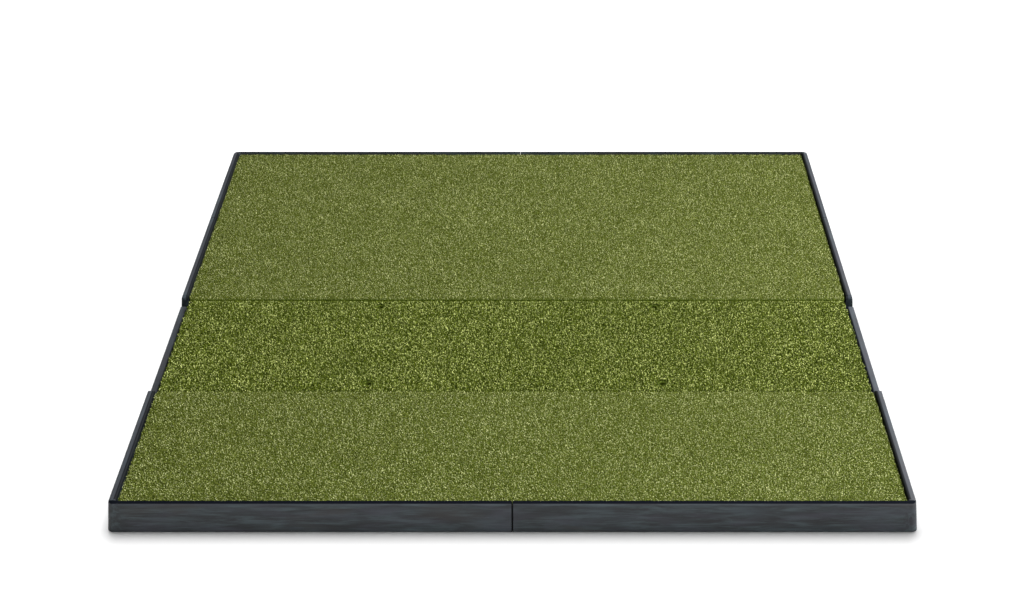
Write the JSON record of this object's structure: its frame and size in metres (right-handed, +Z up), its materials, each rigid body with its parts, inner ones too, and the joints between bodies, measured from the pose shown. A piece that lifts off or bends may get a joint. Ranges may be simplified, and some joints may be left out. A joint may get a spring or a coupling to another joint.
{
  "type": "golf hitting mat",
  "caption": "Square golf practice mat of linked rubber trays, with shock pads, a lift-out coarse strike strip with tee holes, and lift-out turf in front of it and behind it.",
  "frame": {"origin": "centre of the mat's underside", "axes": "+Z up from the floor; +Y from the front edge, where the short front strip is, towards the stance panel; +X to the right as seen from the front, along the ball's flight line"},
  "size_m": [1.219, 1.219, 0.0508],
  "materials": {
    "tray_rubber": "moulded charcoal rubber with cloudy flow marks, satin",
    "shock_foam": "closed-cell foam board, fine granular, matte",
    "strike_gel": "soft gel rubber slab, smooth, slightly glossy",
    "tee_rubber": "black moulded rubber, matte",
    "clip_nylon": "black nylon, satin",
    "underlay_foam": "dense foam bonded under the turf, matte",
    "carrier_rubber": "thin rubber sheet, matte",
    "stance_turf": "short curled nylon pile, olive green",
    "strike_turf": "taller coarse nylon pile, deeper green"
  },
  "bodies": {
    "tray_base": {"tray_front_left": "tray_rubber", "tray_front_right": "tray_rubber", "tray_strike_left": "tray_rubber", "tray_strike_right": "tray_rubber", "tray_stance_near_left": "tray_rubber", "tray_stance_near_right": "tray_rubber", "tray_stance_far_left": "tray_rubber", "tray_stance_far_right": "tray_rubber", "shock_pad_front_left": "shock_foam", "shock_pad_front_right": "shock_foam", "shock_pad_stance_near_left": "shock_foam", "shock_pad_stance_near_right": "shock_foam", "shock_pad_stance_far_left": "shock_foam", "shock_pad_stance_far_right": "shock_foam", "gel_pad_outer_left": "strike_gel", "gel_pad_outer_right": "strike_gel", "gel_pad_inner_left": "strike_gel", "gel_pad_inner_right": "strike_gel", "tee_bar_left": "tee_rubber", "tee_bar_right": "tee_rubber", "link_clip_front_middle": "clip_nylon", "link_clip_strike_middle": "clip_nylon", "link_clip_stance_near_middle": "clip_nylon", "link_clip_stance_far_middle": "clip_nylon", "link_clip_behind_front_left": "clip_nylon", "link_clip_behind_front_right": "clip_nylon", "link_clip_behind_strike_left": "clip_nylon", "link_clip_behind_strike_right": "clip_nylon", "link_clip_behind_stance_near_left": "clip_nylon", "link_clip_behind_stance_near_right": "clip_nylon"},
    "front_panel": {"front_underlay": "underlay_foam", "front_turf": "stance_turf"},
    "strike_panel": {"strike_carrier": "carrier_rubber", "strike_turf": "strike_turf"},
    "stance_panel": {"stance_underlay": "underlay_foam", "stance_turf": "stance_turf"}
  },
  "joints": [
    {"name": "front_panel_lift", "type": "slide", "parent": "tray_base", "child": "front_panel", "axis": [0, 0, 1], "range_m": [0, 0.1]},
    {"name": "strike_panel_lift", "type": "slide", "parent": "tray_base", "child": "strike_panel", "axis": [0, 0, 1], "range_m": [0, 0.1]},
    {"name": "stance_panel_lift", "type": "slide", "parent": "tray_base", "child": "stance_panel", "axis": [0, 0, 1], "range_m": [0, 0.1]}
  ]
}
